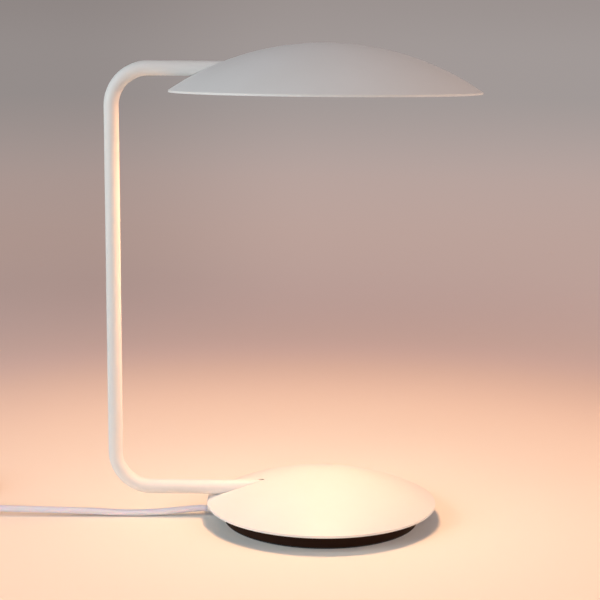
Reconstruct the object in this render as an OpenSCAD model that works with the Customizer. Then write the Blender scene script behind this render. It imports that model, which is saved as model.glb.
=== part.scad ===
// Desk lamp with a spun dome shade on a bent round tube.
// The tube is one C: its lower arm is clamped inside a weighted base under a
// matching dome, and its upper arm carries a flat LED light inside the shade.
// Millimetres, +Z up. The origin is the centre of the foot's underside, and
// the upright stands on the -X side. The mains cord leaves the foot below the
// lower arm, passes an inline rocker switch and is stored in a tied coil.

/* [Shade] */
// Outer diameter of the shade
shade_d = 250; // [220:5:290]
// Height of the shade's dome above its rim band
shade_rise = 38; // [35:0.5:52]
// Height of the straight band at the shade's rim
shade_band = 1.6; // [1:0.2:4]
// Sheet thickness of the shade
shade_wall = 1; // [0.8:0.1:2]
// Width of the hem that is folded in under the shade's rim
shade_hem = 3; // [2:0.5:5]

/* [Frame tube] */
// Outer diameter of the tube
tube_d = 12; // [10:0.5:14]
// Wall thickness of the tube
tube_wall = 1.2; // [0.8:0.1:2]
// Radius of the tube's bends, at its centre line
bend_r = 30; // [22:1:45]
// Distance from the lamp's axis to the upright's axis
reach = 171; // [150:1:200]
// Distance between the axes of the two arms
arm_gap = 344.5; // [260:0.5:460]
// Where the lower arm ends, from the lamp's axis
lower_end = 8; // [6:1:12]
// How far the upper arm runs past the lamp's axis
upper_end = 8; // [4:1:12]
// Gap round the tube where it passes through a dome
entry_gap = 0.6; // [0.3:0.1:1.5]

/* [Light] */
// Diameter of the opal diffuser's face
diffuser_d = 100; // [90:1:108]
// Thickness of the diffuser's face, skirt and flange
diffuser_t = 2; // [1.5:0.1:3]
// Width of the diffuser's flange
diffuser_flange = 3.6; // [3:0.2:4]
// How far the diffuser stands proud of the pan
diffuser_proud = 1; // [0.5:0.1:2]
// Depth from the shade's lower edge up to the pan
pan_recess = 4.4; // [3.5:0.1:8]
// Thickness of the pan that closes the shade
pan_t = 1; // [0.8:0.1:2]
// Distance of the pan's screws from the shade's outer edge
pan_screw_inset = 30; // [24:1:36]
// Height of the foam ring that presses on the diffuser
foam_ring_h = 3; // [2.6:0.1:5]
// How far the heat plate reaches past the diffuser's flange
plate_edge = 9.4; // [8.2:0.1:14]
// Thickness of the heat plate
plate_t = 2; // [1.5:0.1:4]
// Distance of the shade's screws from the heat plate's edge
plate_screw_inset = 5; // [4.5:0.1:6.5]
// Gap between the LED board and the diffuser's skirt
board_gap = 4; // [3:0.1:7]
// Thickness of the LED board
board_t = 1.5; // [1:0.1:2]
// Thickness of the heat pad above the LED board
heat_pad_t = 0.5; // [0.3:0.1:0.6]
// LEDs in the outer ring, the inner ring has half as many
led_count = 16; // [8:2:20]

/* [Base] */
// Outer diameter of the base's dome
base_d = 190; // [180:1:230]
// Height of the base's dome above its rim band
base_rise = 22.5; // [21:0.5:32]
// Height of the straight band at the base's rim
base_band = 1.7; // [1:0.1:3]
// Sheet thickness of the base's dome
base_wall = 1; // [0.8:0.1:2]
// Width of the hem that is folded in under the base's rim
base_hem = 3; // [2:0.5:5]
// Height of the base's rim above the floor
base_lift = 13.3; // [12:0.1:18]
// Height of the lower arm's axis above the base's rim
arm_in_base = 12.2; // [11.8:0.1:12.6]
// Diameter of the black foot
foot_d = 162.4; // [156:0.2:168]
// Wall and floor thickness of the foot
foot_t = 2; // [1.5:0.1:2.5]
// Thickness of the soft pad under the foot
pad_t = 1.2; // [0.8:0.1:2]
// Thickness of the iron weight
weight_t = 8; // [6.5:0.5:9]
// Gap between the weight and the foot's wall
weight_gap = 2.2; // [1:0.1:4]
// Diameter of the circle of screws between foot and base dome
cover_screw_pcd = 120; // [112:1:128]

/* [Clamps] */
// Thickness of the straps over the tube
strap_t = 1.5; // [1:0.1:1.7]
// Width of the straps, along the tube
strap_w = 14; // [10:1:16]
// Length of the cradle under the lower arm
cradle_l = 18; // [16:1:22]
// Width of the cradle
cradle_w = 34; // [32:1:38]

/* [Driver] */
// Length of the LED driver
driver_l = 54; // [46:1:56]
// Width of the LED driver
driver_w = 32; // [26:1:34]
// Height of the LED driver
driver_h = 12; // [9:0.5:12.5]
// Thickness of the tape under the driver
tape_t = 0.8; // [0.5:0.1:1.2]

/* [Mains cord] */
// Diameter of the cord
cord_d = 5.4; // [5:0.1:5.8]
// Height of the cord's axis where it leaves the foot
cord_z = 6.4; // [6.2:0.1:6.8]
// Length of the cord bush
bush_l = 24; // [20:1:28]
// Turns in the stored coil
coil_turns = 6.75; // [4.75:1:7.75]
// Radius of the coil's outer turn, at the cord's axis
coil_r = 42; // [40:1:50]
// Gap between neighbouring turns of the coil
coil_gap = 0.5; // [0.45:0.05:1]

/* [Inline switch] */
// Length of the switch
switch_l = 62; // [58:1:62]
// Width of the switch
switch_w = 22; // [20:1:24]
// Height of the switch
switch_h = 17; // [16.5:0.5:18]
// Wall thickness of the switch's shells
switch_wall = 1.8; // [1.4:0.1:2]
// Length of the rocker
rocker_l = 15.4; // [14:0.2:16]
// Width of the rocker
rocker_w = 10.2; // [9:0.2:10.6]
// Tilt of the rocker to each side
rocker_tilt = 7; // [4:0.5:8]
// Diameter of the rocker's pin
pin_d = 2; // [1.6:0.1:2.2]

/* [Plug] */
// Width of the plug
plug_w = 35.3; // [33:0.1:36]
// Thickness of the plug
plug_h = 13.7; // [13:0.1:14.4]
// Length of the plug's body
plug_l = 34; // [30:1:38]
// Length of the pins
plug_pin_l = 19; // [18:0.5:20]
// Distance between the pins
plug_pin_gap = 18.6; // [17.5:0.1:19]

/* [Hidden] */

$fn = 64;
big_fn = 180;
eps = 0.01;
// gap between a piece and its seat where round faces meet
seat = 0.3;
// radial gap round a screw's shank and round a wire in its hole
slip = 0.05;
// gap between the tube and what it lies on
tube_seat = 0.2;

white = "whitesmoke";
steel = "silver";
pale = "gainsboro";

tube_r = tube_d / 2;
cord_r = cord_d / 2;

// heights in the base
tray_floor = pad_t;
tray_top = tray_floor + foot_t;
weight_top = tray_top + weight_t;
low_z = base_lift + arm_in_base;
high_z = low_z + arm_gap;

// heights in the head, from the arm downwards
plate_top = high_z - tube_r - tube_seat;
plate_low = plate_top - plate_t;
foam_low = plate_low - foam_ring_h;
pan_top = foam_low - diffuser_t;
pan_low = pan_top - pan_t;
shade_z = pan_low - pan_recess;
board_top = plate_low - heat_pad_t;
board_low = board_top - board_t;

// screws: radius and head of the sizes used
m25 = 1.25;
m3 = 1.5;
m4 = 2;
function head_r(m) = 1.85 * m;
function head_h(m) = 1.1 * m;

// posts inside the domes
post_r = 4;
post_bore = 9;
post_angles = [90, 210, 330];
pan_angles = [30, 150, 270];
pan_post_r = shade_d / 2 - pan_screw_inset;
pan_head_h = 1.8;
pan_post_bore = 7;
pan_thread = 6;
flange_r = diffuser_d / 2 + diffuser_flange;
plate_d = 2 * (flange_r + plate_edge);
board_d = diffuser_d - 2 * (diffuser_t + board_gap);
plate_screw_r = plate_d / 2 - plate_screw_inset;
plate_thread = 7;

// light board details
board_screw_inset = 8;
board_screw_r = board_d / 2 - board_screw_inset;
led_inset = 14;
led_r = board_d / 2 - led_inset;
led_size = [3.5, 2.8, 0.7];
pad_edge = 1;

// lead through the tube: it runs straight out of the tube's ends, then bends
lead_r = 1.8;
lead_out = 2;
lead_bend = 3.5;
lead_hole_r = 2.6;
lead_x = upper_end + lead_out + lead_bend;

// frame tube details
grommet_l = 6;
grommet_lip = 1;

// clamps: bolts and feet, measured from the surface of what they hold
clamp_bolt = 6;
clamp_foot = 10;
clamp_bolt_y = tube_r + clamp_bolt;
grip_bolt = 5;
grip_foot = 8;
// how far a screw's tip stays short of the hole's end
screw_short = 0.2;

// foot details
boss_r = 6.5;
boss_h = 2.5;
boss_pocket_r = 4.8;
cradle_back = 1;
cradle_x = -lower_end - cradle_back - cradle_l / 2;
channel_w = 11;
cradle_drop = 0.6;
cradle_top = low_z - cradle_drop;

// driver and terminal details
driver_x = 8;
driver_low = weight_top + tape_t;
mains_r = 1;
mains_y = 3;
mains_bend = 3;
driver_in_z = driver_low + 3;
driver_out_z = low_z - 5;
terminal = [16, 16, 11.5];
terminal_gap = 3;
terminal_x = cradle_x - cradle_l / 2 - terminal_gap - terminal[0];
terminal_wire_z = tray_top + 4.2;
terminal_hole_r = 1.4;
terminal_screw_r = 1.9;
notch_w = 26;
notch_end = terminal_x + terminal[0] + 2;

// where the cord leaves the foot
cord_y = 1;
bush_back = 10.2;
bush_in = foot_d / 2 - bush_back;
bush_r = 4.1;
bush_tip_r = 3.3;
bush_x = -bush_in - bush_l;
cord_grip_x = 7 - bush_in;
cord_grip_w = 8;
cord_grip_t = 1.2;
grip_bolt_y = cord_r + grip_bolt;
sheath_end = cord_grip_x + 9;

// inline switch: centre, split height and rocker pivot
switch_at = [-315, -4, 0];
switch_corner = 9;
pivot_z = switch_h - 4;
rocker_r = rocker_l / 2;
rocker_down = 3.2;
rocker_up = 4.6;
rocker_gap = 0.35;
cheek_t = 2;

// plug
plug_sleeve_l = 22;
plug_sleeve_r = 3.6;
collar_l = 10;
plug_pin_r = 2;
plug_core_r = 1.5;

// Routes of the cord's free stretches, from the foot to the plug
foot_to_switch = [
    [bush_x, 1, cord_z], [bush_x - 6, 1, cord_z], [-113, 0, 5.6],
    [-125, -1, 4.6], [-138, -2, 3.7], [-151, -2.5, 3.2], [-164, -3, 3.3],
    [-177, -3.5, 3.8], [-190, -3.5, 4.5], [-203, -4, 5], [-216, -4, 5.3],
    [-229, -4, 5.6], [-242, -4, 5.9], [-255, -4, 6.1], [-267, -4, 6.3],
    [switch_at[0] + switch_l / 2 + 6, -4, cord_z],
    [switch_at[0] + switch_l / 2, -4, cord_z],
];
coil_at = [-338, 58];
tie_t = 0.8;
tie_w = 8;
tie_angle = 68;
coil_pitch = cord_d + coil_gap;
coil_low_z = tie_t + seat + cord_r;
coil_top_z = coil_low_z + coil_pitch;
coil_start = [coil_at[0] - cord_d, coil_at[1] + coil_r, coil_low_z];
coil_end = [coil_at[0] - coil_r, coil_at[1] + cord_d, coil_top_z];
switch_to_coil = [
    [switch_at[0] - switch_l / 2, -4, cord_z],
    [switch_at[0] - switch_l / 2 - 6, -4, cord_z], [-364, 0, 5.4],
    [-375, 8, 4.2], [-384, 19, 3.4], [-389, 32, 3.2], [-391, 46, 3.2],
    [-389, 60, 3.3], [-384, 73, 3.4], [-376, 84, 3.6], [-366, 93, 3.7],
    [-354, 98, 3.8], [coil_start[0] - 4, coil_start[1], coil_low_z],
    coil_start,
];
coil_to_plug = [
    coil_end, [coil_end[0], 71, coil_top_z], [-380, 82, 9.6],
    [-380, 93, 9.2], [-380, 104, 8.2], [-380, 113, 7.2],
    [-380, 119, plug_h / 2], [-380, 125, plug_h / 2],
];
plug_at = coil_to_plug[len(coil_to_plug) - 1];

// Shapes of the domes. Heights are above the dome's lower edge.

function ball_r(d, rise) = (d * d / 4 + rise * rise) / (2 * rise);
function ball_z(d, rise, band) = band + rise - ball_r(d, rise);
function inside_r(d, rise, band, wall, z) =
    sqrt(pow(ball_r(d, rise) - wall, 2) - pow(z - ball_z(d, rise, band), 2));

module dome_solid(d, rise, band, inset, drop) {
    intersection() {
        translate([0, 0, ball_z(d, rise, band)])
            sphere(r = ball_r(d, rise) - inset, $fn = big_fn);
        translate([0, 0, -drop])
            cylinder(r = d / 2 - inset, h = 2 * rise + drop, $fn = big_fn);
    }
}

module dome_shell(d, rise, band, wall, hem) {
    difference() {
        dome_solid(d, rise, band, 0, 0);
        dome_solid(d, rise, band, wall, 1);
    }
    difference() {
        cylinder(r = d / 2 - wall / 2, h = wall, $fn = big_fn);
        translate([0, 0, -1])
            cylinder(r = d / 2 - hem, h = wall + 2, $fn = big_fn);
    }
}

// Threaded posts that stand on the inner side of a dome
module posts(d, rise, band, wall, at_r, angles, low) {
    intersection() {
        dome_solid(d, rise, band, wall / 2, d / 4);
        around(at_r, angles) translate([0, 0, low]) cylinder(r = post_r, h = d);
    }
}

module around(r, angles) {
    for (a = angles) rotate(a) translate([r, 0, 0]) rotate(-a) children();
}

// Round rods along X and Z, from one coordinate to the other

module rod_x(x0, x1, y, z, r) {
    translate([min(x0, x1), y, z]) rotate([0, 90, 0])
        cylinder(r = r, h = abs(x1 - x0));
}

module rod_z(x, y, z0, z1, r) {
    translate([x, y, min(z0, z1)]) cylinder(r = r, h = abs(z1 - z0));
}

module rod(a, b, r) {
    v = b - a;
    translate(a) rotate([0, acos(v[2] / norm(v)), atan2(v[1], v[0])])
        cylinder(r = r, h = norm(v));
}

// Quarter bend in the XZ plane: from 90 * turn degrees to the next quarter,
// counted from +X towards +Z
module bend(x, y, z, turn, bend_r, r) {
    translate([x, y, z]) rotate([0, -90 * turn, 0]) rotate([90, 0, 0])
        rotate_extrude(angle = 90) translate([bend_r, 0]) circle(r);
}

// The C of the frame as a solid rod
module c_rod(r, low_x, high_x) {
    corner_x = bend_r - reach;
    rod_x(corner_x, low_x, 0, low_z, r);
    bend(corner_x, 0, low_z + bend_r, 2, bend_r, r);
    rod_z(-reach, 0, low_z + bend_r, high_z - bend_r, r);
    bend(corner_x, 0, high_z - bend_r, 1, bend_r, r);
    rod_x(corner_x, high_x, 0, high_z, r);
}

// Pan-head screw that points up, its head's bearing face at z = 0
module screw_up(m, l) {
    translate([0, 0, -head_h(m)]) cylinder(r = head_r(m), h = head_h(m));
    translate([0, 0, -eps]) cylinder(r = m - slip, h = l + eps);
}

module screw_down(m, l) {
    mirror([0, 0, 1]) screw_up(m, l);
}

// Strap over a round bar along X: drop is how far its feet lie below the
// bar's axis
module strap(bar_r, t, w, drop, foot, hole_y, hole_r) {
    difference() {
        translate([-w / 2, 0, 0]) rotate([90, 0, 90]) linear_extrude(w)
            strap_outline(bar_r, t, drop, foot);
        for (s = [-1, 1]) translate([0, s * hole_y, -drop - 1])
            cylinder(r = hole_r, h = t + 2);
    }
}

module strap_outline(bar_r, t, drop, foot) {
    difference() {
        union() {
            circle(bar_r + t);
            translate([-bar_r - t, -drop]) square([2 * (bar_r + t), drop]);
            translate([-foot, -drop]) square([2 * foot, t]);
        }
        circle(bar_r);
        translate([-bar_r, -drop - bar_r - t])
            square([2 * bar_r, drop + bar_r + t]);
        translate([-foot, -drop - bar_r - t]) square([2 * foot, bar_r + t]);
    }
}

// Rectangle with round corners
module round_plan(l, w, r) {
    square([l - 2 * r, w], center = true);
    square([l, w - 2 * r], center = true);
    for (sx = [-1, 1], sy = [-1, 1])
        translate([sx * (l / 2 - r), sy * (w / 2 - r)]) circle(r);
}

// Tube swept along a list of points

function unit(v) = v / norm(v);
function heading(p, i) =
    unit(p[min(i + 1, len(p) - 1)] - p[max(i - 1, 0)]);
function ring(p, i, r, sides) =
    let (t = heading(p, i), side = unit(cross([0, 0, 1], t)), up = cross(t, side))
    [for (k = [0:sides - 1])
        p[i] + r * (cos(360 * (k + 0.5) / sides) * side
            + sin(360 * (k + 0.5) / sides) * up)];

module swept_tube(p, r, sides) {
    n = len(p);
    points = [for (i = [0:n - 1]) each ring(p, i, r, sides)];
    walls = [for (i = [0:n - 2], k = [0:sides - 1])
        let (a = i * sides + k, b = i * sides + (k + 1) % sides)
        each [[a, a + sides, b], [b, a + sides, b + sides]]];
    low_cap = [for (k = [1:sides - 2]) [0, k, k + 1]];
    top = (n - 1) * sides;
    high_cap = [for (k = [1:sides - 2]) [top, top + k + 1, top + k]];
    polyhedron(points = points, faces = concat(walls, low_cap, high_cap));
}

function path_length(p) =
    [for (i = [1:len(p) - 1]) norm(p[i] - p[i - 1])] * [for (i = [1:len(p) - 1]) 1];

// The coil: it spirals in on the lower layer, climbs in the half turn round
// the middle, and spirals out on the upper layer

ring_step = 1 / 24;
coil_half = coil_turns / 2;
function climb(t) = let (c = min(max(t, 0), 1)) c * c * (3 - 2 * c);
function coil_point(t) =
    let (
        r = coil_r - coil_pitch * (coil_half - abs(t - coil_half)),
        a = 90 - 360 * t,
        z = coil_low_z + coil_pitch * climb(2 * (t - coil_half) + 0.5)
    )
    [coil_at[0] + r * cos(a), coil_at[1] + r * sin(a), z];
coil_points = concat(
    [coil_start],
    [for (t = [0:ring_step:coil_turns + ring_step / 2]) coil_point(t)],
    [coil_end]
);
coil_self_gap = min([
    for (i = [0:len(coil_points) - 14], j = [i + 13:len(coil_points) - 1])
        norm(coil_points[i] - coil_points[j])
]) - cord_d;
cord_length = path_length(foot_to_switch) + switch_l
    + path_length(switch_to_coil) + path_length(coil_points)
    + path_length(coil_to_plug);
echo("least gap of the coil to itself", coil_self_gap);
echo("length of the cord from the bush to the plug", cord_length);

// Head

module shade_shell() {
    color(white) translate([0, 0, shade_z]) difference() {
        union() {
            dome_shell(shade_d, shade_rise, shade_band, shade_wall, shade_hem);
            posts(shade_d, shade_rise, shade_band, shade_wall,
                plate_screw_r, post_angles, plate_top - shade_z);
            posts(shade_d, shade_rise, shade_band, shade_wall,
                pan_post_r, pan_angles, pan_top - shade_z);
        }
        rod_x(-shade_d, -shade_d / 4, 0, high_z - shade_z, tube_r + entry_gap);
        around(plate_screw_r, post_angles)
            rod_z(0, 0, plate_top - shade_z - 1, plate_top - shade_z + post_bore, m3);
        around(pan_post_r, pan_angles)
            rod_z(0, 0, pan_top - shade_z - 1, pan_top - shade_z + pan_post_bore, m3);
    }
}

module bottom_pan() {
    pan_r = inside_r(shade_d, shade_rise, shade_band, shade_wall,
        pan_top - shade_z) - seat;
    color(white) difference() {
        translate([0, 0, pan_low])
            cylinder(r = min(pan_r, shade_d / 2 - shade_hem - seat), h = pan_t,
                $fn = big_fn);
        rod_z(0, 0, pan_low - 1, pan_top + 1, diffuser_d / 2 + seat, $fn = big_fn);
        around(pan_post_r, pan_angles) rod_z(0, 0, pan_low - 1, pan_top + 1, m3 + slip);
    }
}

module pan_screws() {
    color(steel) around(pan_post_r, pan_angles) translate([0, 0, pan_low]) {
        translate([0, 0, -pan_head_h]) difference() {
            cylinder(r1 = head_r(m3) - 0.8, r2 = head_r(m3), h = pan_head_h);
            for (a = [0, 90]) rotate(a) translate([0, 0, 0.3])
                cube([3, 0.7, 1.4], center = true);
        }
        translate([0, 0, -eps]) cylinder(r = m3 - slip, h = pan_t + pan_thread);
    }
}

// Opal dish: its face stands in the pan's opening, its flange lies on the pan
module diffuser() {
    r = diffuser_d / 2;
    face = pan_low - diffuser_proud;
    soft = 1.2;
    color("ivory") rotate_extrude($fn = big_fn) polygon([
        [0, face], [r - soft, face], [r, face + soft], [r, pan_top],
        [r + diffuser_flange, pan_top],
        [r + diffuser_flange, foam_low], [r - diffuser_t, foam_low],
        [r - diffuser_t, face + diffuser_t], [0, face + diffuser_t],
    ]);
}

module foam_ring() {
    r = diffuser_d / 2;
    color("dimgray") difference() {
        rod_z(0, 0, foam_low, plate_low, r + diffuser_flange - 0.5);
        rod_z(0, 0, foam_low - 1, plate_low + 1, r - 0.5);
    }
}

module led_board() {
    color("white") difference() {
        rod_z(0, 0, board_low, board_top, board_d / 2);
        around(board_screw_r, post_angles)
            rod_z(0, 0, board_low - 1, board_top + 1, m25);
    }
}

module led_chips() {
    color("khaki") for (ring = [[led_r, led_count], [led_r / 2, led_count / 2]])
        for (k = [0:ring[1] - 1])
            rotate(360 * (k + 0.5) / ring[1]) translate([ring[0], 0, board_low - led_size[2]])
                translate([-led_size[0] / 2, -led_size[1] / 2, 0]) cube(led_size);
}

module board_screws() {
    color(steel) around(board_screw_r, post_angles) translate([0, 0, board_low])
        screw_up(m25, board_t + heat_pad_t + plate_t - screw_short);
}

module heat_pad() {
    color("slategray") difference() {
        rod_z(0, 0, board_top, plate_low, board_d / 2 - pad_edge);
        around(board_screw_r, post_angles)
            rod_z(0, 0, board_top - 1, plate_low + 1, m25 + slip);
        rod_z(lead_x, 0, board_top - 1, plate_low + 1, lead_hole_r);
    }
}

module heat_plate() {
    color(steel) difference() {
        rod_z(0, 0, plate_low, plate_top, plate_d / 2);
        around(board_screw_r, post_angles) rod_z(0, 0, plate_low - 1, plate_top + 1, m25);
        around(plate_screw_r, post_angles)
            rod_z(0, 0, plate_low - 1, plate_top + 1, m3 + slip);
        for (s = [-1, 1])
            rod_z(0, s * clamp_bolt_y, plate_low - 1, plate_top + 1, m3);
        rod_z(lead_x, 0, plate_low - 1, plate_top + 1, lead_hole_r);
    }
}

module plate_screws() {
    color(steel) around(plate_screw_r, post_angles)
        translate([0, 0, plate_low]) screw_up(m3, plate_t + plate_thread);
}

module head_clamp() {
    color(steel) translate([0, 0, high_z])
        strap(tube_r + slip, strap_t, min(strap_w, 2 * upper_end), tube_r + tube_seat,
            tube_r + clamp_foot, clamp_bolt_y, m3 + slip);
}

module head_clamp_screws() {
    color(steel) for (s = [-1, 1])
        translate([0, s * clamp_bolt_y, plate_top + strap_t])
            screw_down(m3, strap_t + plate_t - screw_short);
}

// Frame

module frame_tube() {
    color(white) difference() {
        c_rod(tube_r, -lower_end, upper_end);
        c_rod(tube_r - tube_wall, -lower_end + 1, upper_end + 1);
    }
}

// Plastic rings that guard the wires at the tube's two ends
module tube_bushes() {
    r = tube_r - tube_wall - slip;
    color("dimgray") for (x = [-lower_end, upper_end]) difference() {
        union() {
            rod_x(x - grommet_l, x + eps, 0, x < 0 ? low_z : high_z, r);
            rod_x(x, x + grommet_lip, 0, x < 0 ? low_z : high_z, tube_r - 0.3);
        }
        rod_x(x - grommet_l - 1, x + grommet_lip + 1, 0, x < 0 ? low_z : high_z,
            lead_r + seat);
    }
}

// Two-core lead from the driver, through the tube, down to the LED board
module inner_lead() {
    low_x = -lower_end + lead_out;
    high_x = upper_end + lead_out;
    low_bend = (low_z - driver_out_z) / 2;
    color("dimgray") {
        c_rod(lead_r, low_x, high_x);
        bend(high_x, 0, high_z - lead_bend, 0, lead_bend, lead_r);
        rod_z(lead_x, 0, board_top, high_z - lead_bend, lead_r);
        bend(low_x, 0, low_z - low_bend, 0, low_bend, lead_r);
        bend(low_x + 2 * low_bend, 0, driver_out_z + low_bend, 2, low_bend, lead_r);
        rod_x(low_x + 2 * low_bend, driver_x, 0, driver_out_z, lead_r);
    }
}

// Base

module base_cover() {
    color(white) translate([0, 0, base_lift]) difference() {
        union() {
            dome_shell(base_d, base_rise, base_band, base_wall, base_hem);
            posts(base_d, base_rise, base_band, base_wall,
                cover_screw_pcd / 2, post_angles, weight_top - base_lift);
        }
        rod_x(-base_d, -lower_end - cradle_l, 0, arm_in_base, tube_r + entry_gap);
        around(cover_screw_pcd / 2, post_angles)
            rod_z(0, 0, weight_top - base_lift - 1,
                weight_top - base_lift + post_bore, m4);
    }
}

module base_clamp() {
    color(steel) translate([cradle_x, 0, low_z])
        strap(tube_r + slip, strap_t, strap_w, cradle_drop, cradle_w / 2 - 1,
            clamp_bolt_y, m4 + slip);
}

module base_clamp_screws() {
    color(steel) for (s = [-1, 1])
        translate([cradle_x, s * clamp_bolt_y, cradle_top + strap_t])
            screw_down(m4, strap_t + cradle_top - tray_top - 1.5);
}

// Cast block that holds the arm, with a tunnel for the wires below it
module base_cradle() {
    color("darkgray") difference() {
        translate([cradle_x, 0, weight_top]) linear_extrude(cradle_top - weight_top)
            round_plan(cradle_l, cradle_w, 3);
        rod_x(cradle_x - cradle_l, cradle_x + cradle_l, 0, low_z, tube_r + slip);
        for (s = [-1, 1])
            rod_z(cradle_x, s * clamp_bolt_y, weight_top - 1, low_z + 1, m4 + slip);
        translate([cradle_x - cradle_l, cord_y - channel_w / 2, weight_top - 1])
            cube([2 * cradle_l, channel_w, 3]);
    }
}

module base_weight() {
    r = foot_d / 2 - foot_t - weight_gap;
    bevel = 1.5;
    color("dimgray") difference() {
        translate([0, 0, tray_top]) {
            cylinder(r = r, h = weight_t - bevel, $fn = big_fn);
            translate([0, 0, weight_t - bevel])
                cylinder(r1 = r, r2 = r - bevel, h = bevel, $fn = big_fn);
        }
        translate([-foot_d / 2, cord_y - notch_w / 2, tray_top - 1])
            cube([foot_d / 2 + notch_end, notch_w, weight_t + 2]);
        translate([notch_end - 1, cord_y - channel_w / 2, tray_top - 1])
            cube([driver_x + 4 - notch_end, channel_w, weight_t + 2]);
        around(cover_screw_pcd / 2, post_angles) {
            rod_z(0, 0, tray_top - 1, tray_top + boss_h + seat, boss_r + seat);
            rod_z(0, 0, tray_top, weight_top + 1, m4 + seat);
        }
        for (s = [-1, 1])
            rod_z(cradle_x, s * clamp_bolt_y, tray_top + 1, weight_top + 1, m4);
    }
}

// Black foot: an open tray whose wall ends just under the dome
module base_tray() {
    r = foot_d / 2;
    color([0.05, 0.05, 0.05]) difference() {
        union() {
            intersection() {
                difference() {
                    rod_z(0, 0, tray_floor, low_z, r, $fn = big_fn);
                    rod_z(0, 0, tray_top, low_z + 1, r - foot_t, $fn = big_fn);
                }
                translate([0, 0, base_lift + ball_z(base_d, base_rise, base_band)])
                    sphere(r = ball_r(base_d, base_rise) - base_wall - seat,
                        $fn = big_fn);
            }
            around(cover_screw_pcd / 2, post_angles)
                rod_z(0, 0, tray_floor, tray_top + boss_h, boss_r);
        }
        around(cover_screw_pcd / 2, post_angles) {
            rod_z(0, 0, tray_floor - 1, tray_floor + boss_h, boss_pocket_r);
            rod_z(0, 0, tray_floor, tray_top + boss_h + 1, m4 + seat);
        }
        rod_x(-base_d, 0, 0, low_z, tube_r + entry_gap);
        rod_x(-base_d, 2 - bush_in, cord_y, cord_z, bush_r + slip);
        for (s = [-1, 1])
            rod_z(cord_grip_x, cord_y + s * grip_bolt_y, tray_floor - 1, tray_top + 1, m3);
    }
}

module tray_screws() {
    color(steel) around(cover_screw_pcd / 2, post_angles)
        translate([0, 0, tray_floor + boss_h])
            screw_up(m4, weight_top - tray_floor - boss_h + post_bore - 2);
}

module foot_pad() {
    color("black") cylinder(r = foot_d / 2 - 0.6, h = pad_t, $fn = big_fn);
}

module led_driver() {
    color(white) difference() {
        translate([driver_x + driver_l / 2, 0, driver_low]) linear_extrude(driver_h)
            round_plan(driver_l, driver_w, 3);
        for (s = [-1, 1]) translate([driver_x + driver_l / 2, s * driver_w / 4,
                driver_low + driver_h])
            cube([driver_l - 12, driver_w / 4, 1.2], center = true);
    }
}

module driver_tape() {
    color("gray") translate([driver_x + driver_l / 2, 0, weight_top])
        linear_extrude(tape_t) round_plan(driver_l - 8, channel_w + 12, 1);
}

// Mains wires from the terminal block, under the cradle, up to the driver
module driver_leads() {
    x = -lower_end - 2;
    z = terminal_wire_z;
    color("saddlebrown") for (s = [-1, 1]) {
        y = cord_y + s * mains_y;
        rod_x(terminal_x + terminal[0] - 4, x, y, z, mains_r);
        bend(x, y, z + mains_bend, 3, mains_bend, mains_r);
        rod_z(x + mains_bend, y, z + mains_bend, driver_in_z - mains_bend, mains_r);
        bend(x + 2 * mains_bend, y, driver_in_z - mains_bend, 1, mains_bend, mains_r);
        rod_x(x + 2 * mains_bend, driver_x, y, driver_in_z, mains_r);
    }
}

module terminal_block() {
    color("linen") difference() {
        translate([terminal_x, cord_y - terminal[1] / 2, tray_top]) cube(terminal);
        translate([terminal_x - 1, cord_y - 0.75, tray_top + 5])
            cube([terminal[0] + 2, 1.5, terminal[2]]);
        for (s = [-1, 1]) {
            rod_x(terminal_x - 1, terminal_x + 6, cord_y + s * mains_y,
                terminal_wire_z, terminal_hole_r);
            rod_x(terminal_x + terminal[0] - 6, terminal_x + terminal[0] + 1,
                cord_y + s * mains_y, terminal_wire_z, terminal_hole_r);
            for (x = [4, terminal[0] - 4])
                rod_z(terminal_x + x, cord_y + s * (mains_y + 1.2), tray_top + 6,
                    tray_top + terminal[2] + 1, terminal_screw_r + 0.1);
        }
    }
}

module terminal_screws() {
    color("goldenrod") for (s = [-1, 1], x = [4, terminal[0] - 4])
        difference() {
            rod_z(terminal_x + x, cord_y + s * (mains_y + 1.2), tray_top + 6,
                tray_top + 9, terminal_screw_r);
            translate([terminal_x + x, cord_y + s * (mains_y + 1.2), tray_top + 9])
                cube([0.6, 4, 1.2], center = true);
        }
}

// The mains cord's inner end: sheath through bush and grip, then two cores
module mains_tail() {
    color(white) rod_x(bush_x, sheath_end, cord_y, cord_z, cord_r);
    color("saddlebrown") for (s = [-1, 1]) {
        knee = [terminal_x - 1, cord_y + s * mains_y, terminal_wire_z];
        rod([sheath_end - 2, cord_y + s * 1.4, cord_z], knee, mains_r);
        translate(knee) sphere(mains_r + eps, $fn = 24);
        rod_x(knee[0], terminal_x + 4, knee[1], knee[2], mains_r);
    }
}

module cord_clamp() {
    color(steel) translate([cord_grip_x, cord_y, cord_z])
        strap(cord_r + slip, cord_grip_t, cord_grip_w, cord_z - tray_top,
            cord_r + grip_foot, grip_bolt_y, m3 + slip);
}

module cord_clamp_screws() {
    color(steel) for (s = [-1, 1])
        translate([cord_grip_x, cord_y + s * grip_bolt_y, tray_top + cord_grip_t])
            screw_down(m3, cord_grip_t + foot_t - screw_short);
}

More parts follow.
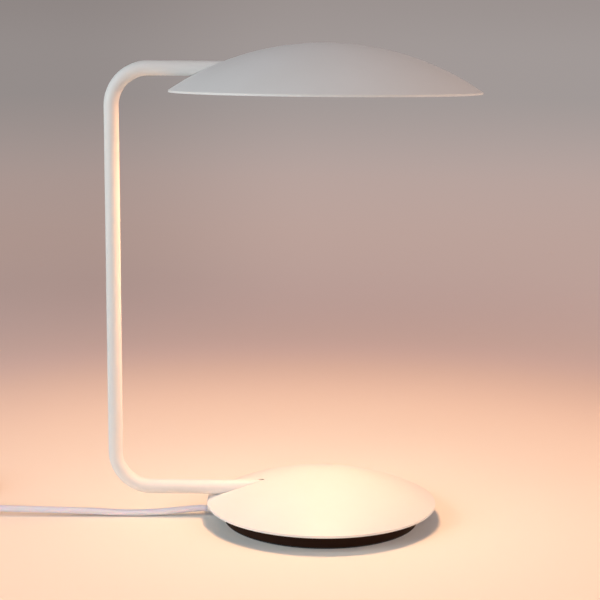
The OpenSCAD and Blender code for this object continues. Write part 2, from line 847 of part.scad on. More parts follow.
// Tapered bush that carries the cord out through the foot's wall
module cord_bush() {
    wall_in = sqrt(pow(foot_d / 2 - foot_t, 2) - pow(cord_y + bush_r, 2));
    flange_t = 1.4;
    flange_r = 5;
    outer = foot_d / 2 - bush_in + 0.6;
    color(white) difference() {
        union() {
            translate([-bush_in, cord_y, cord_z]) rotate([0, -90, 0])
                rotate_extrude() polygon([
                    [0, 0], [bush_r - 0.1, 0], [bush_r - 0.1, outer - 3],
                    [bush_r, outer - 3], [bush_r, outer],
                    [bush_tip_r, bush_l], [0, bush_l],
                ]);
            intersection() {
                rod_x(-wall_in + seat, -wall_in + seat + flange_t, cord_y, cord_z,
                    flange_r);
                translate([-foot_d / 2, cord_y - flange_r, tray_top + seat])
                    cube([foot_d / 2, 2 * flange_r, 4 * flange_r]);
            }
        }
        rod_x(-bush_in - bush_l - 1, -bush_in + 1, cord_y, cord_z, cord_r + slip);
    }
}

// Cord, switch and plug

module mains_cord() {
    color(pale) swept_tube(foot_to_switch, cord_r, 10);
}

// The switch's outer form from the floor up to its crowned top
module switch_form(inset) {
    crown_r = 20;
    length_r = 160;
    intersection() {
        translate([0, 0, inset]) linear_extrude(switch_h)
            round_plan(switch_l - 2 * inset, switch_w - 2 * inset,
                switch_corner - inset);
        translate([0, 0, switch_h - crown_r]) rotate([0, 90, 0])
            cylinder(r = crown_r - inset, h = switch_l + 2, center = true, $fn = big_fn);
        translate([0, 0, switch_h - length_r]) rotate([90, 0, 0])
            cylinder(r = length_r - inset, h = switch_w + 2, center = true, $fn = 360);
    }
}

switch_boss = [16, -6.4];
switch_boss_r = 2.3;
module switch_bosses(r, low, high) {
    for (s = [-1, 1]) rod_z(s * switch_boss[0], switch_boss[1], low, high, r);
}

module switch_base() {
    color(white) translate(switch_at) difference() {
        union() {
            difference() {
                switch_form(0);
                switch_form(switch_wall);
            }
            intersection() {
                switch_form(0);
                switch_bosses(switch_boss_r + 0.6, 0.5, cord_z);
            }
        }
        translate([-switch_l, -switch_w, cord_z]) cube([2 * switch_l, 2 * switch_w, switch_h]);
        rod_x(-switch_l, switch_l, 0, cord_z, cord_r + slip);
        switch_bosses(m25 + slip, -1, cord_z + 1);
        switch_bosses(head_r(m25) + 0.1, -1, 2);
    }
}

module switch_cover() {
    opening = [2 * (rocker_r + rocker_gap), rocker_w + 2 * rocker_gap];
    color(white) translate(switch_at) difference() {
        union() {
            difference() {
                switch_form(0);
                switch_form(switch_wall);
            }
            intersection() {
                switch_form(switch_wall / 2);
                union() {
                    switch_bosses(switch_boss_r, cord_z, switch_h);
                    for (s = [-1, 1])
                        translate([-4, s * (opening[1] + cheek_t) / 2 - cheek_t / 2,
                            pivot_z - 3])
                            cube([8, cheek_t, switch_h]);
                }
            }
        }
        translate([-switch_l, -switch_w, cord_z - switch_h])
            cube([2 * switch_l, 2 * switch_w, switch_h]);
        translate([-opening[0] / 2, -opening[1] / 2, pivot_z - 4])
            cube([opening[0], opening[1], switch_h]);
        rod_x(-switch_l, switch_l, 0, cord_z, cord_r + slip);
        switch_bosses(m25, cord_z - 1, cord_z + 6);
        translate([0, 0, pivot_z]) rotate([90, 0, 0])
            cylinder(r = pin_d / 2 + 0.02, h = opening[1] + 2 * cheek_t - 0.4, center = true);
    }
}

// Rocker at rest: switched on, its end away from the lamp pressed down
module switch_rocker() {
    dip_r = 26;
    color(pale) translate(switch_at + [0, 0, pivot_z]) rotate([0, -rocker_tilt, 0])
        difference() {
            intersection() {
                rotate([90, 0, 0]) cylinder(r = rocker_r, h = rocker_w, center = true);
                translate([-rocker_r, -rocker_w, -rocker_down])
                    cube([2 * rocker_r, 2 * rocker_w, rocker_down + rocker_up]);
            }
            translate([0, 0, rocker_up - 0.9 + dip_r]) rotate([90, 0, 0])
                cylinder(r = dip_r, h = rocker_w + 2, center = true, $fn = 128);
            rotate([90, 0, 0])
                cylinder(r = pin_d / 2 + slip, h = rocker_w + 2, center = true);
        }
}

module rocker_pin() {
    l = rocker_w + 2 * rocker_gap + 2 * cheek_t - 1;
    color(steel) translate(switch_at + [0, 0, pivot_z]) rotate([90, 0, 0])
        cylinder(r = pin_d / 2, h = l, center = true);
}

// Brass blades that stand on the switch's floor under the rocker's ends
module switch_contacts() {
    top = pivot_z - rocker_down - rocker_r * sin(rocker_tilt) - seat;
    color("goldenrod") translate(switch_at) for (s = [-1, 1])
        translate([s * (rocker_r - 2.6), 0, 0]) {
            translate([-0.4, -7, switch_wall]) cube([0.8, 6, top - switch_wall]);
            translate([-2.4, -7, top - 0.8]) cube([4.8, 6, 0.8]);
        }
}

// Sheath ends and cores inside the switch: one core runs through, the other
// ends on the two blades
module switch_wires() {
    grip = switch_l / 2 - 9;
    blade = rocker_r - 1.6;
    color(white) translate(switch_at) for (s = [-1, 1])
        rod_x(s * switch_l / 2, s * grip, 0, cord_z, cord_r);
    color("saddlebrown") translate(switch_at) {
        for (s = [-1, 1]) {
            rod([s * (grip + 1), 1.4, cord_z], [s * 13, 5, 4], mains_r);
            translate([s * 13, 5, 4]) sphere(mains_r + eps, $fn = 24);
            rod([s * (grip + 1), -1.4, cord_z], [s * blade, -2.6, 4], mains_r);
        }
        rod_x(-13, 13, 5, 4, mains_r);
    }
}

module switch_screws() {
    color(steel) translate(switch_at) for (s = [-1, 1])
        translate([s * switch_boss[0], switch_boss[1], 2])
            screw_up(m25, cord_z + 3);
}

module cord_lead_in() {
    color(pale) swept_tube(switch_to_coil, cord_r, 10);
}

module cord_coil() {
    color(pale) swept_tube(coil_points, cord_r, 6);
}

// Strap tie round the coil's turns, away from its climb and its two ends
module coil_tie() {
    slack = 0.5;
    first = (90 - tie_angle) / 360;
    in_r = coil_r - coil_pitch * (first + floor(coil_half - first)) - cord_r - slack;
    out_r = coil_r - coil_pitch * first + cord_r + slack;
    low = coil_low_z - cord_r - seat;
    high = coil_top_z + cord_r + slack;
    corner = 2;
    color("dimgray") translate([coil_at[0], coil_at[1], 0]) rotate(tie_angle)
        translate([(in_r + out_r) / 2, tie_w / 2, (low + high) / 2]) rotate([90, 0, 0])
            linear_extrude(tie_w) difference() {
                round_plan(out_r - in_r + 2 * tie_t, high - low + 2 * tie_t,
                    corner + tie_t);
                round_plan(out_r - in_r, high - low, corner);
            }
}

module cord_tail() {
    color(pale) swept_tube(coil_to_plug, cord_r, 10);
}

// Flat two-pin plug with its ribbed sleeve, lying on its wide side
module plug_body() {
    ribs = 5;
    rib = plug_sleeve_l / (2 * ribs);
    color(white) translate(plug_at) {
        rotate([-90, 0, 0]) rotate_extrude() polygon(concat(
            [[0, 0]],
            [for (k = [0:ribs - 1]) each [
                [plug_sleeve_r + 0.35 * k, 2 * k * rib],
                [plug_sleeve_r + 0.35 * k, (2 * k + 1) * rib],
                [plug_sleeve_r + 0.35 * k - 0.7, (2 * k + 1) * rib],
                [plug_sleeve_r + 0.35 * k - 0.7, (2 * k + 2) * rib],
            ]],
            [[0, plug_sleeve_l]]
        ));
        translate([0, plug_sleeve_l, 0]) {
            hull() {
                plug_slice(14, 11, 0, 1);
                plug_slice(24, plug_h - 0.6, plug_l * 0.45, 1);
            }
            hull() {
                plug_slice(24, plug_h - 0.6, plug_l * 0.45, 1);
                plug_slice(plug_w, plug_h, plug_l - 9, 9);
            }
        }
    }
}

module plug_slice(w, h, y, t) {
    translate([0, y + t, 0]) rotate([90, 0, 0]) linear_extrude(t)
        round_plan(w, h, h / 2 - 0.1, $fn = 24);
}

module pin_collars() {
    color("dimgray") for (s = [-1, 1])
        translate(plug_at + [s * plug_pin_gap / 2, plug_sleeve_l + plug_l, 0])
            rotate([-90, 0, 0]) difference() {
                cylinder(r = plug_pin_r, h = collar_l);
                translate([0, 0, -1]) cylinder(r = plug_core_r + slip, h = collar_l + 2);
            }
}

module plug_pins() {
    color(steel) for (s = [-1, 1])
        translate(plug_at + [s * plug_pin_gap / 2, plug_sleeve_l + plug_l, 0])
            rotate([-90, 0, 0]) {
                cylinder(r = plug_core_r, h = collar_l + 1);
                translate([0, 0, collar_l])
                    cylinder(r = plug_pin_r, h = plug_pin_l - collar_l - plug_pin_r);
                translate([0, 0, plug_pin_l - plug_pin_r]) sphere(plug_pin_r, $fn = 64);
            }
}

shade_shell();
bottom_pan();
pan_screws();
diffuser();
foam_ring();
led_board();
led_chips();
board_screws();
heat_pad();
heat_plate();
plate_screws();
head_clamp();
head_clamp_screws();
frame_tube();
tube_bushes();
inner_lead();
base_cover();
base_clamp();
base_clamp_screws();
base_cradle();
base_weight();
base_tray();
tray_screws();
foot_pad();
led_driver();
driver_tape();
driver_leads();
terminal_block();
terminal_screws();
mains_tail();
cord_clamp();
cord_clamp_screws();
cord_bush();
mains_cord();
switch_base();
switch_cover();
switch_rocker();
rocker_pin();
switch_contacts();
switch_wires();
switch_screws();
cord_lead_in();
cord_coil();
coil_tie();
cord_tail();
plug_body();
pin_collars();
plug_pins();
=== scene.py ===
import math

import bpy
from mathutils import Matrix, Vector


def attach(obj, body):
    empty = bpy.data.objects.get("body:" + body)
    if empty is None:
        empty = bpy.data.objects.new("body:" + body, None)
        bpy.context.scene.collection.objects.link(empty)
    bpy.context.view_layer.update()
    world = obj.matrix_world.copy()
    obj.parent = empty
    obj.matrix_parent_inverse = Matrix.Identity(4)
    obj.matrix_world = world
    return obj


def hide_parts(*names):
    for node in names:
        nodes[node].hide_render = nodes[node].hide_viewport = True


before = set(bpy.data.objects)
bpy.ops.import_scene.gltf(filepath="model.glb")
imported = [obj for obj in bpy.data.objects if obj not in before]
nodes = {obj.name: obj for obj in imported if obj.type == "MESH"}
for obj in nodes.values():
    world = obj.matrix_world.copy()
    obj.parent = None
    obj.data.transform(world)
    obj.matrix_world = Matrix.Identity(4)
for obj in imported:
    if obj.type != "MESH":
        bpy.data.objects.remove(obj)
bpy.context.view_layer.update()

scene = bpy.context.scene
scene.view_settings.view_transform = "Standard"
MM = 0.001


def linked(name, data):
    """A new object in the scene."""
    made = bpy.data.objects.new(name, data)
    scene.collection.objects.link(made)
    return made


# Camera, as fitted to the photograph

SENSOR = 36
LENS = 86.76
CAMERA_AT = (-0.01893, -1.1644, 0.3785)
CAMERA_PITCH = 80.508
CAMERA_ROLL = 0.461

camera = linked("camera", bpy.data.cameras.new("camera"))
camera.data.sensor_width = SENSOR
camera.data.lens = LENS
camera.matrix_world = (
    Matrix.Translation(CAMERA_AT)
    @ Matrix.Rotation(math.radians(CAMERA_PITCH), 4, "X")
    @ Matrix.Rotation(math.radians(CAMERA_ROLL), 4, "Z")
)
scene.camera = camera

# Cord

CORD_D = 5.4
COIL_AT = (-338, 58)
COIL_R = 42
COIL_PITCH = 5.9
COIL_TURNS = 6.75
COIL_LOW = 3.8
STEPS_A_TURN = 24

FOOT_TO_SWITCH = [
    (-95, 1, 6.4), (-101, 1, 6.4), (-113, 0, 5.6), (-125, -1, 4.6),
    (-138, -2, 3.7), (-151, -2.5, 3.2), (-164, -3, 3.3), (-177, -3.5, 3.8),
    (-190, -3.5, 4.5), (-203, -4, 5), (-216, -4, 5.3), (-229, -4, 5.6),
    (-242, -4, 5.9), (-255, -4, 6.1), (-267, -4, 6.3), (-278, -4, 6.4),
    (-284, -4, 6.4),
]
SWITCH_TO_COIL = [
    (-346, -4, 6.4), (-352, -4, 6.4), (-364, 0, 5.4), (-375, 8, 4.2),
    (-384, 19, 3.4), (-389, 32, 3.2), (-391, 46, 3.2), (-389, 60, 3.3),
    (-384, 73, 3.4), (-376, 84, 3.6), (-366, 93, 3.7), (-354, 98, 3.8),
    (-347.4, 100, 3.8), (-343.4, 100, 3.8),
]
COIL_TO_PLUG = [
    (-380, 63.4, 9.7), (-380, 71, 9.7), (-380, 82, 9.6), (-380, 93, 9.2),
    (-380, 104, 8.2), (-380, 113, 7.2), (-380, 119, 6.85), (-380, 125, 6.85),
]


def coil_point(turn):
    """The coil winds in on its lower layer, climbs, and winds out on the upper one."""
    half = COIL_TURNS / 2
    r = COIL_R - COIL_PITCH * (half - abs(turn - half))
    a = math.radians(90 - 360 * turn)
    c = min(max(2 * (turn - half) + 0.5, 0), 1)
    z = COIL_LOW + COIL_PITCH * c * c * (3 - 2 * c)
    return (COIL_AT[0] + r * math.cos(a), COIL_AT[1] + r * math.sin(a), z)


def cord_route():
    turns = [k / STEPS_A_TURN for k in range(round(COIL_TURNS * STEPS_A_TURN) + 1)]
    coil = [coil_point(t) for t in turns]
    route = FOOT_TO_SWITCH + SWITCH_TO_COIL + coil + COIL_TO_PLUG
    return [Vector(p) * MM for p in route]


def smoothed(points, parts=3):
    """Points on one smooth line through the given ones."""
    out, last = [], len(points) - 1
    for i in range(last):
        before, here = points[max(i - 1, 0)], points[i]
        there, after = points[i + 1], points[min(i + 2, last)]
        span = (there - here).length
        leave = (there - before).normalized() * span
        arrive = (after - here).normalized() * span
        for k in range(parts):
            t = k / parts
            out.append(
                here * (2 * t**3 - 3 * t**2 + 1)
                + leave * (t**3 - 2 * t**2 + t)
                + there * (3 * t**2 - 2 * t**3)
                + arrive * (t**3 - t**2)
            )
    return out + [points[-1]]


def rod(name, points, width, sides=20):
    """A round mesh tube along the points, closed at both ends."""
    count = len(points)
    side = Vector((0, 0, 1))
    places, faces = [], []
    for i, at in enumerate(points):
        way = (points[min(i + 1, count - 1)] - points[max(i - 1, 0)]).normalized()
        side = (side - way * side.dot(way)).normalized()
        other = way.cross(side)
        for k in range(sides):
            a = 2 * math.pi * k / sides
            places.append(at + (side * math.cos(a) + other * math.sin(a)) * width / 2)
    for i in range(count - 1):
        for k in range(sides):
            n = (k + 1) % sides
            near, far = i * sides, (i + 1) * sides
            faces.append((near + k, near + n, far + n, far + k))
    faces.append(tuple(reversed(range(sides))))
    faces.append(tuple(range((count - 1) * sides, count * sides)))
    mesh = bpy.data.meshes.new(name)
    mesh.from_pydata(places, [], faces)
    mesh.polygons.foreach_set("use_smooth", [len(f) == 4 for f in faces])
    return linked(name, mesh)


route = smoothed(cord_route())
cord = rod("mains_flex", route, CORD_D * MM)
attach(cord, "lamp")
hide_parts("mains_cord", "cord_lead_in", "cord_coil", "cord_tail")

# Finishes

# nearly all of a noise pattern's values lie between these two
NOISE_LOW, NOISE_HIGH = 0.3, 0.7
# features a metre in the drift of roughness
ROUGH_SCALE = 160


class Finish:
    """A procedural material: a base colour with a slow drift of tone, a
    roughness that varies, and layers of fine relief."""

    def __init__(self, name, colour, rough, **sockets):
        self.material = bpy.data.materials.new(name)
        self.material.use_nodes = True
        self.tree = self.material.node_tree
        self.shader = self.tree.nodes["Principled BSDF"]
        self.coords = self.tree.nodes.new("ShaderNodeTexCoord").outputs["Object"]
        self.colour = colour
        self.relief = None
        for socket, value in sockets.items():
            self.shader.inputs[socket.replace("_", " ")].default_value = value
        self.vary_roughness(rough)

    def node(self, kind, **values):
        """A new node, with the input sockets named in values set."""
        made = self.tree.nodes.new("ShaderNode" + kind)
        for socket, value in values.items():
            made.inputs[socket.replace("_", " ")].default_value = value
        return made

    def link(self, out, into):
        self.tree.links.new(out, into)

    def pattern(self, kind, scale, stretch=(1, 1, 1)):
        """A grey pattern from 0 to 1, with scale features a metre."""
        place = self.node("Mapping", Scale=stretch)
        self.link(self.coords, place.inputs["Vector"])
        if kind == "cells":
            made = self.node("TexVoronoi", Scale=scale)
            out = made.outputs["Distance"]
        elif kind == "rings":
            made = self.node("TexWave", Scale=scale, Distortion=0.0)
            made.wave_type = "RINGS"
            made.rings_direction = "Z"
            out = made.outputs["Fac"]
        else:
            made = self.node("TexNoise", Scale=scale, Detail=4.0, Roughness=0.55)
            out = made.outputs["Fac"]
        self.link(place.outputs["Vector"], made.inputs["Vector"])
        return out

    def vary_roughness(self, rough):
        """Lets the roughness drift between the two values of rough."""
        span = self.node(
            "MapRange", From_Min=NOISE_LOW, From_Max=NOISE_HIGH,
            To_Min=rough[0], To_Max=rough[1],
        )
        self.link(self.pattern("noise", ROUGH_SCALE), span.inputs["Value"])
        self.link(span.outputs["Result"], self.shader.inputs["Roughness"])

    def tone(self, kind, scale, depth, stretch=(1, 1, 1), tint=(1, 1, 1)):
        """Lets the colour drift by depth, towards a tint where it is darker."""
        ramp = self.tree.nodes.new("ShaderNodeValToRGB")
        light, dark = ramp.color_ramp.elements[1], ramp.color_ramp.elements[0]
        light.position, dark.position = NOISE_HIGH, NOISE_LOW
        light.color = [min(1, c * (1 + depth / 2)) for c in self.colour] + [1]
        dark.color = [c * (1 - depth) * t for c, t in zip(self.colour, tint)] + [1]
        self.link(self.pattern(kind, scale, stretch), ramp.inputs["Fac"])
        self.link(ramp.outputs["Color"], self.shader.inputs["Base Color"])
        return self

    def grain(self, kind, scale, height, stretch=(1, 1, 1)):
        """A layer of relief, height metres deep."""
        bump = self.node("Bump", Strength=1.0, Distance=height)
        self.link(self.pattern(kind, scale, stretch), bump.inputs["Height"])
        if self.relief:
            self.link(self.relief, bump.inputs["Normal"])
        self.relief = bump.outputs["Normal"]
        self.link(self.relief, self.shader.inputs["Normal"])
        return self


def powder_coat(name, colour):
    """Fine-textured powder coat: a soft orange peel under a close grain."""
    coat = Finish(name, colour, rough=(0.42, 0.52), Specular_IOR_Level=0.45)
    coat.tone("noise", scale=14, depth=0.018, tint=(1, 0.995, 0.985))
    coat.grain("noise", scale=420, height=1.2e-5)
    return coat.grain("noise", scale=2600, height=1.6e-5)


def moulding(name, colour, rough=(0.38, 0.5), spec=0.5):
    """Moulded plastic from a spark-textured tool."""
    shell = Finish(name, colour, rough, Specular_IOR_Level=spec)
    shell.tone("noise", scale=60, depth=0.03, tint=(1, 0.99, 0.97))
    return shell.grain("noise", scale=3400, height=1.4e-5)


def rubber(name, colour, rough=(0.55, 0.7), depth=0.08, soft=0.0):
    """Soft rubber or PVC with a slightly uneven skin."""
    skin = Finish(name, colour, rough, Subsurface_Weight=soft, Subsurface_Scale=0.002)
    skin.tone("noise", scale=90, depth=depth)
    skin.grain("noise", scale=700, height=1.5e-5)
    return skin.grain("noise", scale=4200, height=0.8e-5)


def metal(name, colour, rough=(0.22, 0.36), stretch=(1, 1, 12)):
    """Bare or plated metal with fine drawn lines."""
    bare = Finish(name, colour, rough, Metallic=1.0)
    bare.tone("noise", scale=240, depth=0.06, stretch=stretch)
    return bare.grain("noise", scale=1500, height=0.6e-5, stretch=stretch)


def opal(name, colour):
    """Opal diffuser, lit from behind with a warm white."""
    glass = Finish(
        name, colour, rough=(0.4, 0.5),
        Subsurface_Weight=0.6, Subsurface_Scale=0.004,
        Emission_Color=(1.0, 0.83, 0.6, 1), Emission_Strength=0.9,
    )
    glass.tone("noise", scale=30, depth=0.02)
    return glass.grain("noise", scale=2200, height=1.0e-5)


def foam(name, colour, cells=1800, depth=8.0e-5):
    """Closed-cell foam."""
    soft = Finish(name, colour, rough=(0.8, 0.95))
    soft.tone("cells", scale=cells, depth=0.3)
    return soft.grain("cells", scale=cells, height=depth)


def casting(name, colour):
    """Raw grey iron, straight from the sand."""
    raw = Finish(name, colour, rough=(0.6, 0.8), Metallic=0.6)
    raw.tone("noise", scale=130, depth=0.3, tint=(1, 0.96, 0.92))
    raw.grain("noise", scale=520, height=1.2e-4)
    return raw.grain("cells", scale=1300, height=5.0e-5)


def strap(name, colour):
    """Hook-and-loop strap with a looped face."""
    band = Finish(name, colour, rough=(0.8, 0.95), Sheen_Weight=0.4)
    band.tone("cells", scale=1900, depth=0.4)
    band.grain("cells", scale=1900, height=2.4e-4)
    return band.grain("noise", scale=5200, height=6.0e-5)


def board(name, colour):
    """Circuit board: white solder mask over rings of copper track."""
    mask = Finish(name, colour, rough=(0.3, 0.42))
    mask.tone("rings", scale=110, depth=0.05, tint=(1, 0.99, 0.97))
    mask.grain("rings", scale=110, height=3.0e-5)
    return mask.grain("noise", scale=1800, height=0.6e-5)


FINISHES = {
    "shade_coat": powder_coat("shade_coat_finish", (0.86, 0.855, 0.85)),
    "pan_coat": powder_coat("pan_coat_finish", (0.88, 0.875, 0.86)),
    "opal": opal("opal_finish", (0.95, 0.92, 0.84)),
    "foam": foam("foam_finish", (0.25, 0.25, 0.26)),
    "board": board("board_finish", (0.93, 0.93, 0.92)),
    "led": moulding("led_finish", (0.93, 0.86, 0.52), (0.2, 0.3)),
    "plated": metal("plated_finish", (0.7, 0.7, 0.7)),
    "pad": rubber("pad_finish", (0.42, 0.45, 0.5)),
    "sheet": metal("sheet_finish", (0.76, 0.77, 0.78), (0.3, 0.45), (1, 14, 1)),
    "tube_coat": powder_coat("tube_coat_finish", (0.87, 0.865, 0.86)),
    "guard": moulding("guard_finish", (0.3, 0.3, 0.3)),
    "lead": rubber("lead_finish", (0.3, 0.3, 0.3)),
    "base_coat": powder_coat("base_coat_finish", (0.88, 0.875, 0.865)),
    "casting": casting("casting_finish", (0.24, 0.24, 0.25)),
    "foot_black": moulding(
        "foot_black_finish", (0.026, 0.009, 0.004), (0.5, 0.62), spec=0.12
    ),
    "foot_soft": foam("foot_soft_finish", (0.04, 0.04, 0.04), cells=2600, depth=4.0e-5),
    "driver_case": moulding("driver_case_finish", (0.9, 0.9, 0.89)),
    "tape": foam("tape_finish", (0.5, 0.5, 0.5), cells=2400, depth=5.0e-5),
    "core": rubber("core_finish", (0.35, 0.18, 0.08), (0.4, 0.5)),
    "terminal": moulding("terminal_finish", (0.87, 0.85, 0.8)),
    "brass": metal("brass_finish", (0.78, 0.62, 0.3)),
    "cord": rubber(
        "cord_finish", (0.88, 0.87, 0.99), (0.3, 0.42), depth=0.015, soft=0.25
    ),
    "fittings": moulding("fittings_finish", (0.9, 0.89, 0.91)),
    "rocker": moulding("rocker_finish", (0.84, 0.84, 0.83), (0.22, 0.3)),
    "tie": strap("tie_finish", (0.2, 0.2, 0.2)),
    "collar": moulding("collar_finish", (0.12, 0.12, 0.12)),
    "nickel": metal("nickel_finish", (0.8, 0.79, 0.76), (0.14, 0.24)),
}

for node in nodes.values():
    for held in node.material_slots:
        held.material = FINISHES[held.material.name.split(".")[0]].material
cord.data.materials.append(FINISHES["cord"].material)

# Stage

FLOOR_R = 14.0
FLOOR_TONE = (0.90, 0.88, 0.80)
FLOOR_ROUGHNESS = 0.9
FLOOR_SPECULAR = 0.1
# distance from the lamp that falls in the middle of a ramp
RAMP_HALF = 1.2
# distance from the lamp in metres, and the lamp's warm light painted on the floor there
# as a pool, seen by the camera alone
PAINTED_LAMP_POOL = [
    (0.12, (0.0, 0.02, 0.03)),
    (0.40, (0.34, 0.11, 0.03)),
    (0.80, (0.16, 0.02, 0.0)),
    (2.20, (0.25, 0.15, 0.13)),
]
# distance from the lamp in metres, and the colour painted on the floor further off;
# brighter and warmer towards the lamp
BACKDROP = [
    (0.9, (0.51, 0.34, 0.29)),
    (3.5, (0.48, 0.37, 0.34)),
    (14.0, (0.36, 0.32, 0.31)),
]
# where the backdrop's paint starts, and where it hides the lit floor
BACKDROP_FROM = (0.9, 2.2)
# colour above the horizon, reached at this upward slope of the view
WALL_HIGH = (0.33, 0.29, 0.28)
WALL_RISE = 0.045
# numbers of the colour mix node's sockets, whose names repeat
MIX_SHARE, MIX_FIRST, MIX_SECOND, MIX_RESULT = 0, 6, 7, 2
# painted shade on the left of the set: sideways share of the depth, distance, and how
# much
DIM_SIDE = (0.01, -0.16)
DIM_FROM = (0.5, 1.4)
DIM_BY = 0.17


def math_node(tree, operation, first, second):
    """One sum of two values, each a number or an output."""
    made = tree.nodes.new("ShaderNodeMath")
    made.operation = operation
    for socket, value in zip(made.inputs, (first, second)):
        if isinstance(value, (int, float)):
            socket.default_value = value
        else:
            tree.links.new(value, socket)
    return made.outputs["Value"]


def spread(tree, value, start, end):
    """A smooth step from 0 to 1 as the value goes from start to end."""
    span = tree.nodes.new("ShaderNodeMapRange")
    span.interpolation_type = "SMOOTHSTEP"
    span.inputs["From Min"].default_value = start
    span.inputs["From Max"].default_value = end
    tree.links.new(value, span.inputs["Value"])
    return span.outputs["Result"]


def ramp(tree, reach, stops):
    """A colour for each distance from the lamp, in metres."""
    made = tree.nodes.new("ShaderNodeValToRGB")
    made.color_ramp.interpolation = "CARDINAL"
    held = made.color_ramp.elements
    while len(held) < len(stops):
        held.new(0.5)
    for stop, (at, tone) in zip(held, stops):
        stop.position = at / (at + RAMP_HALF)
        stop.color = (*tone, 1)
    share = math_node(tree, "DIVIDE", reach, math_node(tree, "ADD", reach, RAMP_HALF))
    tree.links.new(share, made.inputs["Fac"])
    return made.outputs["Color"]


def left_shade_mask(tree, across, along, shift):
    """Mask of the painted shade: 1 on the left of the set, 0 in its middle and on its
    right.
    """
    depth = math_node(tree, "ADD", math_node(tree, "ABSOLUTE", along, 0.0), shift)
    return spread(tree, math_node(tree, "DIVIDE", across, depth), *DIM_SIDE)


def floor_material():
    """Pale sweep. The camera sees a painted pool of the lamp's warm light around the
    lamp, and further off colours painted by distance, brighter and warmer towards the
    lamp; the left side has painted shade."""
    mat = bpy.data.materials.new("floor")
    mat.use_nodes = True
    tree = mat.node_tree
    shader = tree.nodes["Principled BSDF"]
    shader.inputs["Base Color"].default_value = (*FLOOR_TONE, 1)
    shader.inputs["Roughness"].default_value = FLOOR_ROUGHNESS
    shader.inputs["Specular IOR Level"].default_value = FLOOR_SPECULAR
    coords = tree.nodes.new("ShaderNodeTexCoord").outputs["Object"]
    flat = tree.nodes.new("ShaderNodeSeparateXYZ")
    tree.links.new(coords, flat.inputs["Vector"])
    length = tree.nodes.new("ShaderNodeVectorMath")
    length.operation = "LENGTH"
    tree.links.new(coords, length.inputs[0])
    reach = length.outputs["Value"]
    seen = tree.nodes.new("ShaderNodeLightPath").outputs["Is Camera Ray"]

    # painted light: the lamp's warm pool, emitted by the floor for camera rays only
    painted_pool = tree.nodes.new("ShaderNodeEmission")
    tree.links.new(ramp(tree, reach, PAINTED_LAMP_POOL), painted_pool.inputs["Color"])
    tree.links.new(seen, painted_pool.inputs["Strength"])
    lit = tree.nodes.new("ShaderNodeAddShader")
    tree.links.new(shader.outputs["BSDF"], lit.inputs[0])
    tree.links.new(painted_pool.outputs["Emission"], lit.inputs[1])

    paint = tree.nodes.new("ShaderNodeEmission")
    tree.links.new(ramp(tree, reach, BACKDROP), paint.inputs["Color"])
    fade = tree.nodes.new("ShaderNodeMixShader")
    far = math_node(tree, "MULTIPLY", spread(tree, reach, *BACKDROP_FROM), seen)
    tree.links.new(far, fade.inputs["Fac"])
    tree.links.new(lit.outputs["Shader"], fade.inputs[1])
    tree.links.new(paint.outputs["Emission"], fade.inputs[2])

    # painted shade: the camera sees the floor darker on the left of the set, further
    # off
    left = left_shade_mask(tree, flat.outputs["X"], flat.outputs["Y"], RAMP_HALF)
    left = math_node(tree, "MULTIPLY", left, spread(tree, reach, *DIM_FROM))
    left = math_node(tree, "MULTIPLY", left, math_node(tree, "MULTIPLY", seen, DIM_BY))
    dimmed = tree.nodes.new("ShaderNodeMixShader")
    tree.links.new(left, dimmed.inputs["Fac"])
    tree.links.new(fade.outputs["Shader"], dimmed.inputs[1])
    surface = tree.nodes["Material Output"].inputs["Surface"]
    tree.links.new(dimmed.outputs["Shader"], surface)
    return mat


def disc(name, radius, sides=96):
    """A flat round face at the height of the table."""
    mesh = bpy.data.meshes.new(name)
    turns = [2 * math.pi * k / sides for k in range(sides)]
    ring = [(radius * math.cos(a), radius * math.sin(a), 0) for a in turns]
    mesh.from_pydata(ring, [], [list(range(sides))])
    return linked(name, mesh)


floor = disc("floor", FLOOR_R)
floor.data.materials.append(floor_material())

# Light

AMBIENT = (0.16, 0.15, 0.17)
SET_MIDDLE = (0, 0, 0.2)
SOFTBOX_AT, SOFTBOX_SIZE = (-2.1, -1.3, 1.1), 1.6
SOFTBOX_W, SOFTBOX_COLOUR = 36.6, (0.907, 0.984, 1.0)
FILL_AT, FILL_SIZE = (2.2, -0.6, 1.2), 1.8
FILL_W, FILL_COLOUR = 27.0, (1.0, 0.74, 0.59)
# the lamp's own light: just under the diffuser, and thrown onto shade and pan
LAMP_AT, LAMP_AIM, LAMP_SIZE = (0, 0, 0.3538), (0, 0, 0), 0.1
LAMP_W, LAMP_COLOUR = 1.08, (1.0, 0.544, 0.289)
SPILL_AT, SPILL_R = (0, 0, 0.3465), 0.006
SPILL_W, SPILL_COLOUR = 0.24, (1.0, 0.417, 0.20)


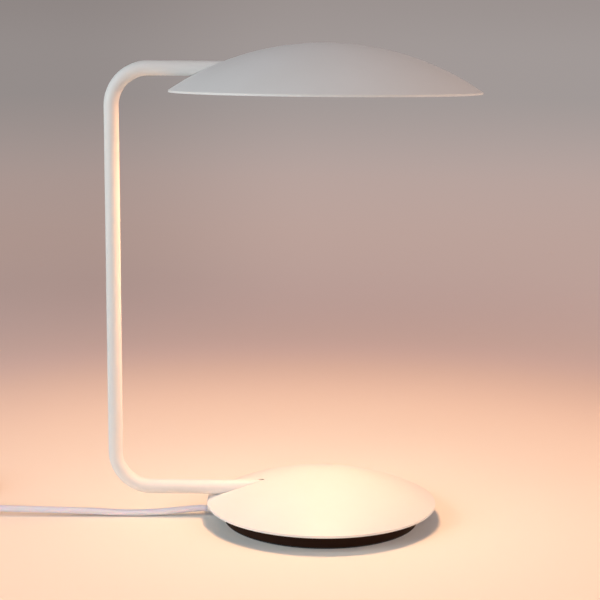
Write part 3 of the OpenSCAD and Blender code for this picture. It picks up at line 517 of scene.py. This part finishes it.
def backdrop():
    """Even room light. Camera, glossy and transmission rays see the backdrop."""
    world = bpy.data.worlds.new("studio")
    world.use_nodes = True
    scene.world = world
    tree = world.node_tree
    light = tree.nodes["Background"]
    light.inputs["Color"].default_value = (*AMBIENT, 1)
    wall = tree.nodes.new("ShaderNodeBackground")
    way = tree.nodes.new("ShaderNodeSeparateXYZ")
    coords = tree.nodes.new("ShaderNodeTexCoord").outputs["Generated"]
    tree.links.new(coords, way.inputs["Vector"])
    blend = tree.nodes.new("ShaderNodeMix")
    blend.data_type = "RGBA"
    blend.inputs[MIX_FIRST].default_value = (*BACKDROP[-1][1], 1)
    blend.inputs[MIX_SECOND].default_value = (*WALL_HIGH, 1)
    rise = spread(tree, way.outputs["Z"], 0.0, WALL_RISE)
    tree.links.new(rise, blend.inputs[MIX_SHARE])
    tree.links.new(blend.outputs[MIX_RESULT], wall.inputs["Color"])
    # painted shade: the backdrop is darker on the left of the set
    left = left_shade_mask(tree, way.outputs["X"], way.outputs["Y"], 0.0)
    left = math_node(tree, "MULTIPLY", left, DIM_BY)
    tree.links.new(math_node(tree, "SUBTRACT", 1.0, left), wall.inputs["Strength"])
    path = tree.nodes.new("ShaderNodeLightPath").outputs
    seen = math_node(tree, "MAXIMUM", path["Is Camera Ray"], path["Is Glossy Ray"])
    seen = math_node(tree, "MAXIMUM", seen, path["Is Transmission Ray"])
    mix = tree.nodes.new("ShaderNodeMixShader")
    tree.links.new(seen, mix.inputs["Fac"])
    tree.links.new(light.outputs["Background"], mix.inputs[1])
    tree.links.new(wall.outputs["Background"], mix.inputs[2])
    surface = tree.nodes["World Output"].inputs["Surface"]
    tree.links.new(mix.outputs["Shader"], surface)


def area_light(name, at, aim, size, watts, colour, shape="SQUARE"):
    """A light that the camera doesn't see."""
    light = bpy.data.lights.new(name, "AREA")
    light.shape = shape
    light.size = size
    light.energy = watts
    light.color = colour
    made = linked(name, light)
    made.location = at
    made.rotation_mode = "QUATERNION"
    made.rotation_quaternion = (Vector(aim) - Vector(at)).to_track_quat("-Z", "Y")
    made.visible_camera = False
    return made


backdrop()
area_light(
    "softbox", SOFTBOX_AT, SET_MIDDLE, SOFTBOX_SIZE, SOFTBOX_W, SOFTBOX_COLOUR
)
area_light("fill", FILL_AT, SET_MIDDLE, FILL_SIZE, FILL_W, FILL_COLOUR)
area_light(
    "lamp_light", LAMP_AT, LAMP_AIM, LAMP_SIZE, LAMP_W, LAMP_COLOUR, "DISK"
)
spill = bpy.data.lights.new("lamp_spill", "POINT")
spill.energy = SPILL_W
spill.color = SPILL_COLOUR
spill.shadow_soft_size = SPILL_R
spill_at = linked("lamp_spill", spill)
spill_at.location = SPILL_AT
spill_at.visible_camera = False
